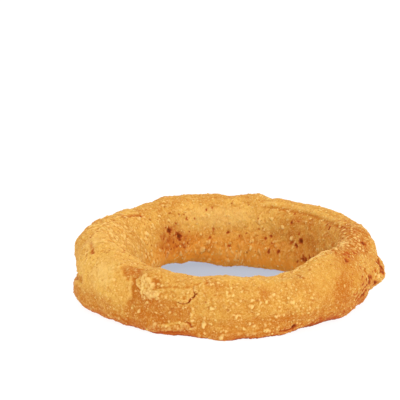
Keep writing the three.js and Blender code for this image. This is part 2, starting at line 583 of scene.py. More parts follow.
OUTLINES = {
    # how far each form stands out, what it does to the crust's numbers, how soft and how ragged
    # its edge is, and the places on its outline
    "hollow": dict(lift=-0.34, broad=0.7, fried=0.11, bare=0.2, soft=1.8, ragged=0.6, places=[
        (225.1, 54), (224.8, 62), (225.8, 70.5), (228.4, 76.5), (231.2, 76.5), (232.9, 69),
        (234.7, 53), (233.5, 48), (232.3, 43.5), (230.7, 41), (228.7, 41.5), (227.1, 43),
        (225.8, 48.5),
    ]),
    "channel": dict(lift=-0.44, broad=0.8, bare=0.9, soft=0.5, ragged=0.25, places=[
        (230.9, 46), (230.9, 40), (231.6, 29), (231.6, 19), (232.1, 3), (231.2, -3), (230, -7),
        (233, -14), (238, -8), (237.2, 8), (236.3, 13), (235.7, 23), (234.5, 29), (233.8, 33.5),
        (232.9, 43), (232.7, 47),
    ]),
    "clump": dict(lift=0.12, broad=-0.2, bare=-1.0, soft=0.8, ragged=0.5, places=[
        (233.5, 40), (234.4, 47), (236.4, 48), (238.3, 47.5), (239.8, 47), (240.6, 43.5),
        (241.4, 37.5), (241.9, 33), (243.4, 28.5), (244.5, 21.5), (243.3, 14), (241.7, 17.5),
        (240.5, 13.5), (238.9, 7.5), (237.3, 11), (236.3, 22), (235.2, 30), (234.3, 34),
    ]),
    "wedge": dict(lift=-0.3, broad=0.7, fried=0.06, bare=0.4, soft=1.3, ragged=0.5, places=[
        (241.2, 47), (242.8, 49), (244.5, 44), (244.7, 36), (242.5, 34), (241.9, 40.5),
    ]),
    "scar": dict(lift=-0.24, broad=0.7, fried=0.04, bare=0.4, soft=1.6, ragged=0.5, places=[
        (237.1, 12), (240, 12), (243.8, 17), (248.3, 16), (251.2, 15), (253.4, 9), (255.6, 10),
        (256.6, 0), (256.4, -12), (256, -26), (252, -30), (248, -34), (243.6, -38), (239.5, -40),
        (235, -44), (229.4, -49), (228.5, -45), (229, -28), (229.5, -17), (230.2, -6), (232, 0),
    ]),
    "ledge": dict(lift=0.17, broad=0.0, bare=0.3, soft=0.9, ragged=0.5, places=[
        (242.7, 32.5), (246.1, 35.5), (250.1, 38.5), (253.8, 41), (257, 44), (257.3, 37),
        (256.8, 29.5), (255.8, 21.5), (254.5, 16.5), (252.3, 15.5), (250.5, 18), (247.6, 16),
        (244.7, 17.5), (243.4, 28),
    ]),
    "bottom lip": dict(lift=0.18, broad=0.1, bare=-0.2, soft=0.7, ragged=0.5, places=[
        (238, -47), (243.6, -41), (247.4, -39), (250.4, -34.5), (254, -34), (256, -41),
        (256, -47), (250.8, -48), (244, -50), (239, -52),
    ]),
    "heel": dict(lift=0.26, broad=0.45, places=[
        (184, -14), (196, -7), (199, -14), (200, -24), (203, -34), (210, -38), (219, -38),
        (226, -43), (230, -52), (224, -60), (200, -64), (180, -58), (176, -36),
    ]),
    "hanging flake": dict(lift=0.22, broad=0.1, places=[
        (262.5, -60), (262.5, -50), (265, -42), (274, -37), (285, -40), (293, -43), (296, -52),
        (295, -60), (280, -66),
    ]),
    "flake over the rear left": dict(lift=0.28, broad=-0.25, ragged=0.25, places=[
        (142, 103), (148, 99), (151, 95), (153.8, 89), (153.5, 78), (160, 70), (170, 62),
        (160, 50), (148, 60), (140, 80),
    ]),
    "back flake": dict(lift=-0.32, broad=0.5, bare=0.15, soft=0.7, ragged=0.7, places=[
        (52, 26), (58, 36), (70, 33), (80, 38), (87, 24), (84, 4), (76, -8), (64, -4), (56, 6),
    ]),
    "second back flake": dict(lift=-0.28, broad=0.5, bare=0.15, soft=0.9, ragged=0.7, places=[
        (104, -2), (108, 12), (118, 15), (126, 8), (128, -14), (119, -27), (109, -22),
    ]),
    "back ledge": dict(lift=0.28, broad=-0.4, bare=-0.3, soft=0.6, ragged=0.6, places=[
        (100, 32), (112, 28), (124, 34), (133, 28), (136, 44), (124, 52), (106, 48),
    ]),
    "chip by the fat end": dict(lift=-0.26, broad=0.45, bare=0.1, soft=0.9, ragged=0.7, places=[
        (154, 8), (156, 26), (163, 31), (168, 20), (172, 2), (166, -12), (158, -8),
    ]),
    "chip by the narrow end": dict(lift=-0.26, broad=0.45, bare=0.1, soft=0.8, ragged=0.6, places=[
        (17, 18), (19, 38), (26, 42), (31, 32), (28, 14), (22, 8),
    ]),
    "chip inside": dict(lift=-0.26, broad=0.4, bare=0.2, soft=0.8, ragged=0.6, places=[
        (262, 176), (266, 200), (276, 206), (284, 192), (280, 170), (270, 164),
    ]),
    "run of batter inside": dict(lift=0.3, broad=-0.3, soft=0.8, ragged=0.4, places=[
        (300, 140), (300, 180), (304, 214), (309, 216), (311, 180), (310, 140),
    ]),
}
masks = {}
chipped = np.zeros(relief.shape)
for name, form in OUTLINES.items():
    mask = outline(form["places"], form.get("soft", 0.3), form.get("ragged", 0.16))
    masks[name] = mask
    chipped = np.minimum(chipped, form["lift"] * mask)
    relief += max(form["lift"], 0) * mask
    broad += (form["broad"] - broad) * mask
    bare += (form.get("bare", 0) - bare) * mask
    fried = np.maximum(fried, form.get("fried", 0) * mask)
relief += chipped
print("outlined", len(OUTLINES), "flakes, chips and scars")

# %% [markdown]
# Cracks open where the crust shrank, and thin lips of batter curl up beside them. Both are
# strokes: a curve through a few places that is widest in its middle and thins out to its ends.
# Each point of the skin takes its distance from the curve, and the distance wanders with a
# little noise, so that no stroke looks ruled.

# %% List the cracks and lips
CRACKS = [
    # half width in the middle, depth, how dark it is, from browning and from painted shade in the
    # crack, then the places it runs through
    (0.16, 0.34, 0.5, [(251.7, 14), (252.6, 12), (253.8, 12), (254.9, 14.5), (255.9, 17.5)]),
    (0.19, 0.42, 0.8, [(255.7, 16), (256.0, 22), (256.8, 27), (257.6, 30), (257.6, 35)]),
    (0.15, 0.3, 0.55, [(257.5, 29), (257.7, 35), (257.5, 40), (257.3, 46)]),
    (0.15, 0.26, 0.6, [(257.5, 31), (258.5, 36)]),
    (0.36, 0.1, 0.06, [(242.5, 34), (246, 37.5), (250, 40.5), (253.8, 43), (257, 46.5)]),
    (0.24, 0.34, 0.6, [(254.2, -30), (256, -35), (256.4, -40)]),
    (0.32, 0.36, 0.8, [(288.5, -45), (290.5, -47.5), (292.5, -49), (294.5, -47), (296, -42)]),
    (0.4, 0.2, 0.22, [(153.3, 75), (153.8, 89), (151, 95), (148, 99.5), (142.5, 104)]),
    (0.6, 0.18, 0.12, [(194, 60), (198, 56), (202, 54), (205, 51)]),
    (0.45, 0.14, 0.14, [(199, 120), (206, 110), (213, 97)]),
    (0.5, 0.2, 0.22, [(221.7, 78), (222, 92), (223, 106), (225, 114), (225, 126)]),
    (0.34, 0.26, 0.6, [(357, 28), (354.6, 22), (353, 15.4), (349.5, 9), (347, 2.6)]),
    (0.42, 0.34, 0.8, [(356, 31), (353.5, 19), (351, 10), (349.5, 3)]),
    (0.4, 0.36, 0.9, [(339, 7), (338, 2), (336.5, -4)]),
    (0.4, 0.34, 0.9, [(335, -2), (333, -7), (331.5, -13)]),
    (0.3, 0.26, 0.65, [(331, -16), (330.3, -22), (329, -29), (327, -33)]),
    (0.18, 0.28, 0.45, [(40, 2), (44, 8), (49, 6), (52, 12)]),
    (0.18, 0.28, 0.45, [(92, 24), (95, 14), (93, 2), (97, -8)]),
    (0.18, 0.28, 0.45, [(170, -8), (173, 4), (171, 15), (175, 22)]),
    (0.18, 0.28, 0.45, [(318, 186), (322, 180), (321, 170)]),
    (0.18, 0.28, 0.45, [(232, 196), (236, 188), (241, 190)]),
]
LIPS = [
    # half width in the middle, height, how pale it is, then the places it runs through
    (0.42, 0.16, 0.6, [(230.2, 48), (231.3, 36), (231.0, 24), (231.4, 12), (230.3, -1)]),
    (0.36, 0.2, 0.7, [(251.4, 17), (252.3, 22), (254.1, 21), (255.6, 20.5)]),
    (0.4, 0.12, 0.3, [(256.6, 8), (257.2, -4), (256.6, -16), (256.2, -28)]),
    (0.4, 0.14, 0.5, [(244, -41), (247.4, -38), (250.4, -34), (254, -33)]),
    (0.5, 0.12, 0.2, [(143, 98), (148, 94), (150, 86), (150, 76)]),
]
print("listed", len(CRACKS), "cracks and", len(LIPS), "lips")

# %% Open the cracks and curl the lips
STROKE_ENDS = 0.35
STROKE_WANDER = 0.55
STRAW = -1.0


def rounded(points):
    """An open line through points, with its corners cut off."""
    for _ in range(ROUNDINGS):
        between = cut_corners(points[:-1], points[1:])
        points = np.concatenate([points[:1], between, points[-1:]])
    return points


def stroke(places, half_width):
    """A mask that is 1 along a curve through places, and thins out to the curve's ends."""
    points = rounded(np.array([skin[grid_place(*place)] for place in places]))
    middle = points.mean(axis=0)
    reach_out = np.linalg.norm(points - middle, axis=-1).max() + 2 * half_width + 0.5
    near = np.linalg.norm(skin - middle, axis=-1) < reach_out
    close_by = skin[near]
    mask = np.zeros(len(close_by))
    for number, (start, end) in enumerate(zip(points, points[1:])):
        line = end - start
        along = np.clip(((close_by - start) @ line) / (line @ line), 0, 1)
        away = np.linalg.norm(close_by - (start + along[:, None] * line), axis=-1)
        swelling = math.sin(math.pi * (number + 0.5) / (len(points) - 1))
        width = half_width * (STROKE_ENDS + (1 - STROKE_ENDS) * swelling)
        away = away / width + STROKE_WANDER * wander[near]
        mask = np.maximum(mask, 1 - step(0.3, 1.4, away))
    whole = np.zeros(relief.shape)
    whole[near] = mask
    return whole


broken_up = 0.6 + 0.4 * step(-0.5, 0.3, noise(skin, 0.9, 31))
for half_width, high, pale, places in LIPS:
    lip = stroke(places, half_width) * broken_up
    relief += high * lip
    broad += (STRAW - broad) * pale * lip
for half_width, deep, brown, places in CRACKS:
    crack = stroke(places, half_width)
    relief -= deep * crack
    fried = np.maximum(fried, brown * crack)
print("cracks and lips brown", round(100 * float((fried > 0.3).mean()), 1), "percent of the skin")

# %% The step over the heel and the shade under the bottom lip
HEEL_STEP = [(166, -30), (176, -28), (183, -26), (190, -21), (196, -12), (203, -12)]
HEEL_DEPTH = 0.60
heel_across, heel_share = from_line(HEEL_STEP, fade=5)
above_heel = heel_share * step(-0.1, 0.25, heel_across) * bell(heel_across, 0, 2.0)
relief -= HEEL_DEPTH * above_heel

UNDER_LIP = [(238, -55), (243.2, -53), (247.5, -51.5), (251.5, -50.5), (256, -49)]
UNDER_LIP_DEPTH = 0.22
lip_across, lip_share = from_line(UNDER_LIP, fade=4)
under_lip = lip_share * bell(lip_across, 0, 0.45)
relief -= UNDER_LIP_DEPTH * under_lip
# The groove under the lip is painted red-brown shade.
fried = np.maximum(fried, 0.6 * under_lip)
print("the heel's step is", HEEL_DEPTH, "mm deep, the lip's groove", UNDER_LIP_DEPTH, "mm")

# %% [markdown]
# ## Crumbs
#
# Crumbs could be scattered as objects, but most of them are glued into the batter, with only a
# cap showing. A cap is cheaper and truer as a bump of the skin itself: each crumb stamps a small
# ragged dome on the grid, and where domes meet the higher one wins, just as in a pile. A crumb
# remembers its own tone, because no two brown alike. Fine crumbs lie everywhere and are nearly
# even in tone. The larger ones are dry bread from the heart of the loaf, and stay pale.

# %% Measure from a point, on a small window of the grid
RANDOM_SEED = 2024
WINDOW_MARGIN = 0.45
# How deep the waves in a crumb's edge are, and how many of them go round it.
EDGE_WAVES = [(0.20, 2), (0.13, 3), (0.07, 5)]
draw = np.random.default_rng(RANDOM_SEED)


def window(row, column, size):
    """The rows and columns of the grid within a distance of a point, wrapping round."""
    rows = math.ceil(size / step_along[row, column])
    columns = math.ceil(size / step_across[row, column])
    return np.ix_(
        np.arange(row - rows, row + rows + 1) % AROUND_STEPS,
        np.arange(column - columns, column + columns + 1) % SECTION_STEPS,
    )


def ragged_distance(row, column, size, stretch=1.0, raggedness=1.0):
    """A window round a point, the distances from it as shares of a ragged size, and a slope."""
    here = window(row, column, size * max(1, stretch) * (WINDOW_MARGIN + raggedness))
    offset = skin[here] - skin[row, column]
    x = offset @ skin_along[row, column]
    y = offset @ skin_across[row, column] / stretch
    bearing = np.arctan2(y, x)
    turns = draw.uniform(0, 2 * math.pi, 3)
    waves = [deep * np.sin(lobes * bearing + first)
             for (deep, lobes), first in zip(EDGE_WAVES, turns)]
    edge = 1 + raggedness * sum(waves)
    slope = (x * np.cos(turns[0]) + y * np.sin(turns[0])) / size
    return here, np.hypot(x, y) / (size * edge), slope


print("random draws start from", RANDOM_SEED)


# %% Say where crumbs lie thickly
def lessened(values, shares):
    """Values brought down, by a share at a time, where each share's mask is 1."""
    for share, mask in shares:
        values = values * (1 - share * mask)
    return values


smooth_wall = region((-2, 62), (118, 250))
inner_wall = region(ALL_ROUND, (130, 250))
smooth_side = region((308, 332), (12, 80))
left_face = region((190, 230), (-20, 80))
rough_end = region((334, 364), (-50, 100))
front_right = region((302, 334), (-44, 60))
thick = 1 + 0.25 * region((252, 306), (-55, 45)) + 0.3 * rough_end
thick = lessened(thick, [
    (0.3, left_face), (0.6, smooth_side), (0.45, inner_wall), (0.4, smooth_wall),
    (0.6, front_right), (0.6, np.clip(bare, -1, 1)),
])
print("crumbs lie up to", round(thick.max() / thick.min(), 1), "times as thickly as elsewhere")


# %% Choose places and sizes at random
def choose(count, weight):
    """Rows and columns of random points of the grid, more of them where the weight is high."""
    chance = (weight * patch_area).ravel()
    picked = draw.choice(chance.size, count, p=chance / chance.sum())
    return [divmod(int(number), SECTION_STEPS) for number in picked]


def crumb_size(kind):
    """A random half width for a crumb of a kind, more often small than large."""
    return kind["least"] + (kind["most"] - kind["least"]) * draw.random() ** 2


print("crumbs are drawn among", patch_area.size, "points")

# %% List the crumbs
CRUMBS = [
    {"count": 19000, "least": 0.14, "most": 0.36, "rise": 0.30, "tone": (0.0, 0.40)},
    {"count": 600, "least": 0.36, "most": 0.62, "rise": 0.24, "tone": (0.15, 0.30)},
    {"count": 2700, "least": 0.15, "most": 0.42, "rise": 0.42, "tone": (0.85, 0.20)},
]
HEAPS = [
    # where larger crumbs lie heaped, how many, their half widths from and to, and their tone
    ("clump", 90, 0.34, 0.7, 0.75), ("bottom lip", 70, 0.24, 0.5, 0.42),
    ("ledge", 25, 0.22, 0.4, 0.5), ("fat end's top", 110, 0.3, 0.65, 0.6),
    ("near crest", 90, 0.28, 0.58, 0.9), ("rough end", 80, 0.35, 0.72, 0.42),
    ("inner fat end", 60, 0.28, 0.58, 0.7), ("wall foot", 80, 0.22, 0.46, 0.5),
]
masks.update({
    "fat end's top": region((152, 194), (72, 130), 22),
    "near crest": region((290, 352), (96, 114), 4),
    "rough end": region((338, 378), (60, 116)),
    "inner fat end": region((140, 182), (150, 225)),
    "wall foot": region((66, 146), (196, 238)),
})
BIG_CRUMBS = [
    # places of the crumbs that stand out most, and their half widths
    (235.8, -20, 0.55), (231.9, -19, 0.4), (248.3, -13, 0.42), (245.1, 39.5, 0.42),
    (261.1, -33, 0.75), (264, 6, 0.6), (256.8, -27, 0.5), (242.9, -18, 0.36), (239.8, 2, 0.4),
    (238.5, 12, 0.5), (272.7, -8, 0.5), (278, 12.5, 0.52), (278, 24, 0.45), (280.3, -4, 0.42),
    (267.5, -45, 0.58), (283.8, -39, 0.5), (275.3, -34, 0.42), (279, -29, 0.42),
    (269.3, 40, 0.42), (266.2, 58, 0.42), (283.3, 20, 0.42), (293.1, 16, 0.46), (269.3, 35, 0.3),
    (286.7, -10, 0.45), (286.3, 33, 0.46), (291.1, 85, 0.45), (294, 86, 0.4), (277.4, -25, 0.42),
    (263.4, 54, 0.36), (243.4, 24, 0.36), (257, 2, 0.34), (256.6, -12, 0.4), (247, -41, 0.4),
    (52.5, 171, 0.5), (70, 162, 0.34), (59.3, 148, 0.36), (128.3, 216, 0.34), (187.5, 99, 0.42),
    (145, 147, 0.4), (186.5, 81, 0.38), (199.8, 73, 0.34), (154.6, 105, 0.4), (223.5, 95, 0.36),
    (15.3, 108, 0.44), (21, 110, 0.36), (7.2, 108, 0.38), (343.2, 107, 0.44), (346.2, 75, 0.44),
    (346, -1, 0.44), (354.6, 26, 0.4), (344.6, 4, 0.4), (350, 20, 0.34), (187, 97, 0.6),
    (199.3, 42.5, 0.46), (145.3, 148, 0.65), (131, 123, 0.48), (171, 97.5, 0.46),
    (197, 79.5, 0.42), (144.6, 109.4, 0.46), (189.3, 109, 0.46), (178.8, 138, 0.46),
    (138, 138, 0.46), (192, 44.4, 0.38), (224.2, 93, 0.44), (223, 85.5, 0.42), (243.6, 41, 0.42),
    (14.4, 111, 0.48), (7.5, 112, 0.46), (354, 107, 0.5), (343.8, 105.4, 0.56),
    (341.7, 92.6, 0.5), (353.7, 92.6, 0.54), (2.7, 97.7, 0.5), (353, 83.6, 0.48),
    (346.8, 67, 0.5), (337, 113, 0.46), (322.8, 100.3, 0.46), (319.8, 109.3, 0.44),
    (73, 144, 0.46), (65.7, 135, 0.46), (58.8, 148, 0.46), (51.9, 172.3, 0.4), (76.5, 208, 0.4),
    (130, 213, 0.42), (117, 203, 0.38), (119, 225, 0.4), (303, 105, 0.42), (306, 104, 0.36),
    (309.5, 106, 0.42), (314, 105, 0.44), (317, 103, 0.36), (325.5, 105, 0.44),
]
counts = [kind["count"] for kind in CRUMBS] + [heap[1] for heap in HEAPS] + [len(BIG_CRUMBS)]
print("listed", sum(counts), "crumbs, of which", len(BIG_CRUMBS), "have places of their own")

# %% Stamp the crumbs
HEAP_RISE = 0.48
HEAP_TONE_SPREAD = 0.3
BIG_CRUMB_RISE = 0.6
BIG_CRUMB_TONE = 1.25
DOME_HEIGHT = 1.25
DOME_ROUNDNESS = 0.7
LEAN = 0.4
crumb_height = np.zeros(relief.shape)
crumb_tone = np.zeros(relief.shape)


def stamp_crumb(row, column, size, rise, tone):
    """Sets one crumb on the skin, where it stands higher than what is there."""
    # A blunt dome that leans to one side. On the inner wall it is drawn out upright.
    stretch = 1 + 0.5 * inner_wall[row, column]
    here, away, slope = ragged_distance(row, column, size, stretch)
    dome = np.clip(DOME_HEIGHT * (1 - away**2), 0, 1) ** DOME_ROUNDNESS
    cap = size * rise * dome * (1 + LEAN * slope)
    wins = cap > crumb_height[here]
    crumb_height[here] = np.where(wins, cap, crumb_height[here])
    paleness = tone * dome * (0.85 + 0.25 * slope)
    crumb_tone[here] = np.where(wins, paleness, crumb_tone[here])


for kind in CRUMBS:
    for row, column in choose(kind["count"], thick):
        stamp_crumb(row, column, crumb_size(kind), kind["rise"], draw.normal(*kind["tone"]))
for name, count, least, most, tone in HEAPS:
    for row, column in choose(count, masks[name]):
        size = draw.uniform(least, most)
        stamp_crumb(row, column, size, HEAP_RISE, draw.normal(tone, HEAP_TONE_SPREAD))
for *place, size in BIG_CRUMBS:
    stamp_crumb(*grid_place(*place), size, BIG_CRUMB_RISE, BIG_CRUMB_TONE)
relief += crumb_height
print("the crumbs stand up to", round(crumb_height.max(), 2), "mm high")

# %% [markdown]
# ## Pits and dimples
#
# Steam leaves through the batter and bursts in small pits, and loose crumbs burn in them. A pit
# is never one clean hole: it is a handful of small ones that run together, so each place here
# takes a cluster of overlapping stamps. Dimples are wider and softer, and only their colour
# deepens.

# %% List the pits
PITS = [
    # around, section, half width, how dark; then, unless both are 1, how many run together and
    # how far they are stretched round the section
    (129, 154, 0.32, 0.55, 2), (127.2, 163, 0.58, 1.0, 4, 1.1), (126.6, 169, 0.36, 0.8, 2),
    (120.3, 184, 0.6, 0.9, 4, 1.1), (120.3, 192, 0.42, 0.55, 2, 1.2), (121.7, 151, 0.26, 0.8),
    (102.4, 124, 0.31, 0.9), (99, 120, 0.36, 0.45), (114.2, 142, 0.42, 0.45, 2, 1.1),
    (109.6, 141, 0.26, 0.7), (99, 168, 0.41, 0.4, 2, 1.4), (101, 192, 0.36, 0.5, 2, 1.1),
    (90.6, 177, 0.41, 0.8, 2, 0.9), (84, 186, 0.31, 0.6, 1, 1.1), (80, 177, 0.29, 0.6),
    (90, 208, 0.46, 0.65, 2, 0.9), (65.7, 177.4, 0.38, 0.75, 2), (64.2, 194, 0.34, 0.55, 2),
    (68.4, 184, 0.38, 0.75, 2, 0.9), (53.8, 114, 0.34, 0.8), (53.8, 134, 0.43, 0.9, 2),
    (49.8, 129, 0.36, 0.5), (65.3, 211, 0.53, 0.8, 2), (59.3, 208, 0.5, 0.8, 3),
    (46, 174, 0.6, 0.9, 5, 1.1), (45.4, 168, 0.4, 0.6, 2, 1.1), (48.3, 189, 0.48, 0.8, 3),
    (52.3, 184, 0.46, 0.4, 4), (47.4, 154, 0.31, 0.4, 2, 1.6), (27.6, 117, 0.43, 0.85, 2, 1.2),
    (23.5, 122, 0.5, 0.9, 2, 1.1), (42, 212, 0.6, 0.7, 4), (39.5, 212, 0.45, 0.8, 2),
    (36.5, 205, 0.52, 0.65, 3), (32.3, 201, 0.4, 0.55, 2), (73, 162, 0.32, 0.45, 1, 1.2),
    (45.6, 219, 0.38, 0.6, 2), (201.9, 54, 0.38, 0.36, 2, 1.4), (203.8, 49.6, 0.43, 0.42, 2, 1.4),
    (189, 68, 0.38, 0.75), (190, 62, 0.34, 0.6), (199.5, 117, 0.46, 0.6, 4, 1.5),
    (142.4, 107, 0.43, 0.75, 2), (354.5, 76, 0.6, 0.8, 3, 1.1), (351.5, 78, 0.45, 0.45, 2),
    (328.2, 70, 0.58, 0.75, 3), (332.8, 79, 0.6, 0.5, 4), (336.9, 75, 0.54, 0.42, 3),
    (9, 106, 0.31, 0.75), (1.3, 102, 0.31, 0.75), (352, 14, 0.58, 0.8, 3, 1.1),
    (351, 6, 0.58, 0.9, 3, 1.1), (349, 1, 0.54, 0.8, 3), (340.3, 7, 0.55, 1.0, 3, 1.1),
    (337.9, 2, 0.55, 0.95, 3), (344.9, -18, 0.54, 0.95, 3), (334.5, -27, 0.6, 0.9, 3),
    (332.8, -30, 0.58, 0.8, 3), (330.6, -35, 0.43, 0.8, 2), (326.3, -9, 0.48, 0.45, 3),
    (295.1, -46, 0.66, 0.85, 3), (309, -51, 0.5, 0.55, 2), (204, 51, 0.34, 0.55),
    (338.4, 9, 0.5, 0.9, 2), (338.4, -2.6, 0.48, 0.85, 2), (336.3, -6.4, 0.46, 0.85, 2),
    (334.5, -16.7, 0.44, 0.8, 2), (335.7, -32, 0.44, 0.8, 2),
]
PIT_FIELDS = [
    # from and to around, from and to in section, how many, the most they measure, how dark
    ((330, 350), (-40, 14), 45, 0.36, (0.5, 1.0)),
    ((322, 366), (-50, 100), 80, 0.30, (0.3, 0.7)),
    ((354, 384), (84, 118), 60, 0.26, (0.3, 0.8)),
    ((20, 80), (120, 230), 20, 0.24, (0.3, 0.7)),
    ((112, 134), (172, 215), 30, 0.32, (0.4, 0.8)),
    ((286, 340), (-66, -40), 50, 0.28, (0.4, 0.9)),
    ((180, 360), (130, 235), 60, 0.36, (0.3, 0.8)),
    ((0, 180), (-50, 70), 90, 0.32, (0.3, 0.8)),
    ((0, 360), (-60, 130), 110, 0.20, (0.2, 0.5)),
]
for runs, sections, count, most, darkness in PIT_FIELDS:
    for _ in range(count):
        size = most * (0.45 + 0.55 * draw.random() ** 2)
        PITS.append((draw.uniform(*runs), draw.uniform(*sections), size,
                     draw.uniform(*darkness), draw.integers(1, 4), draw.uniform(0.8, 1.3)))
print("listed", len(PITS), "pits")

# %% Lay pale patches
TINT_EDGE = 1.3
PALE_PATCHES = [
    # place, half length and width, and how pale the crumbs are there
    # The patch at around 95, section 136, is painted light where the rear wall's top turns under
    # into shade.
    ((216, 34), (4.2, 3.0), 0.5), ((193, 66), (4.0, 3.5), 0.36), ((95, 136), (9.0, 2.6), 0.4),
]
for place, size, pale in PALE_PATCHES:
    patch = oval(place, size, TINT_EDGE * min(size), ragged=0.6)
    crumb_tone = np.maximum(crumb_tone, pale * patch)
print("laid", len(PALE_PATCHES), "pale patches")

# %% Press the pits
PIT_DEPTH = 0.35
PIT_SPREAD = 0.65
PIT_RAGGEDNESS = 1.6
HALO_WIDTH = 0.45
HALO_GAIN = 1.8
HALO_BROWN = 0.30
pit_mask = np.zeros(relief.shape)


def press_pit(place_around, place_section, size, dark, count=1, stretch=1.0):
    """Presses a cluster of pits that run together: one in the middle, smaller ones round it."""
    row, column = grid_place(place_around, place_section)
    for number in range(count):
        spread = PIT_SPREAD * size if number else 0.0
        pit_row = row + round(draw.normal(0, spread) / STEP_AROUND)
        pit_column = column + round(draw.normal(0, spread) / STEP_SECTION)
        pit_size = size * (draw.uniform(0.5, 1.0) if number else 1.1)
        here, away, _ = ragged_distance(
            pit_row % AROUND_STEPS, pit_column % SECTION_STEPS, pit_size, stretch, PIT_RAGGEDNESS)
        bowl = 1 - step(0.0, 1.3, away)
        relief[here] -= PIT_DEPTH * size * bowl / (1 + 0.5 * number)
        pit_mask[here] = np.maximum(pit_mask[here], dark * bowl)
        crumb_tone[here] *= 1 - bowl


for pit in PITS:
    press_pit(*pit)
pit_halo = np.clip(blur(pit_mask, HALO_WIDTH) * HALO_GAIN, 0, 1)
fried = np.maximum(fried, np.clip(pit_mask + HALO_BROWN * pit_halo, 0, 1))
print("pits cover", round(100 * float((pit_mask > 0.2).mean()), 1), "percent of the skin")

# %% Press the dimples
DIMPLES = [
    # around, section and half width
    (202.5, 52, 0.9), (196.2, 96, 0.8), (189.3, 109, 0.7), (212, 95, 0.9), (163.5, 84, 1.3),
    (164, 74, 0.9), (336, 30, 1.0), (352, 74, 1.2), (70, 74, 1.1), (98, 60, 1.2), (20, 66, 1.0),
    (262, 60, 0.9), (300, 70, 1.0),
]
DIMPLE_STRETCH = 1.8
DIMPLE_DEPTH = 0.30
DIMPLE_ORANGE = 1.2
for *place, size in DIMPLES:
    here, away, _ = ragged_distance(*grid_place(*place), size, DIMPLE_STRETCH)
    bowl = 1 - step(0.0, 1.1, away)
    relief[here] -= DIMPLE_DEPTH * bowl
    broad[here] += (DIMPLE_ORANGE - broad[here]) * bowl
print("pressed", len(DIMPLES), "dimples")

# %% [markdown]
# ## Sand
#
# Between the crumbs the crust is as rough as sand. That comes last and smallest. On the smooth
# inner wall, where the batter slid down the onion, fine upright streaks take its place. All that
# was added stands a little proud on average, so the average is taken off again: the crust keeps
# the size of the solid.

# %% Sand and streaks
SAND = [(0.040, 0.50, 51), (0.035, 0.32, 52)]
UPRIGHT = np.array([1, 1, 0.08])
STREAK_RISE = 0.05
relief += lessened(noise_sum(SAND), [(0.4, smooth_wall), (0.4, smooth_side), (0.4, left_face)])
streaks = noise(skin * UPRIGHT, 0.6, 53)
relief += STREAK_RISE * streaks * (smooth_wall + masks["scar"])
relief -= relief.mean()
print("the whole relief runs", span(relief), "mm")

# %% Measure how far each point stands out from its neighbours
STAND_WIDTH = 0.35
STAND_HEIGHT = 0.08
stand = np.clip((relief - blur(relief, STAND_WIDTH)) / STAND_HEIGHT, -1.2, 1)
stand = lessened(stand, [(0.4, smooth_side)])
crumb_tone = lessened(crumb_tone, [(0.35, smooth_side)])
print("a share of", round(float((stand > 0.5).mean()), 2), "of the points stands well out")

# %% [markdown]
# ## Browning
#
# Oil browns thin edges first, and the ring's ends more than its broad faces, while the fat end,
# which swam highest, stays straw yellow. The foot and the lower front are more orange, partly as
# painted shade low on the ring, and the inner wall is more orange at the narrow end and towards
# its foot. These differences are broad and soft, so each is a region with one number.

# %% Broad browning
REGIONS = [
    # around, section, how far from straw, -1, to orange, 1
    ((194, 228), (-8, 62), -0.75), ((150, 200), (-40, 40), -0.2), ((66, 120), (112, 168), -1.0),
    ((282, 348), (88, 118), -0.1), ((310, 324), (-30, 20), 0.5), ((60, 140), (184, 262), 0.35),
    ((148, 228), (58, 136), -0.45), ((22, 60), (112, 262), 0.55), ((-16, 22), (122, 262), 0.6),
    ((298, 330), (-30, 50), 0.35), ((326, 376), (60, 120), 1.0), ((328, 362), (-50, 60), 0.2),
    ((30, 66), (-40, 60), 0.4), ((96, 126), (-50, 20), 0.35), ((228, 330), (-70, -12), 0.4),
    ((180, 228), (-70, -16), 0.5), ((140, 360), (212, 262), 0.5),
]
for runs, sections, value in REGIONS:
    broad += value * region(runs, sections) * (1 - np.clip(np.abs(broad), 0, 1))
print("laid", len(REGIONS), "broad regions")

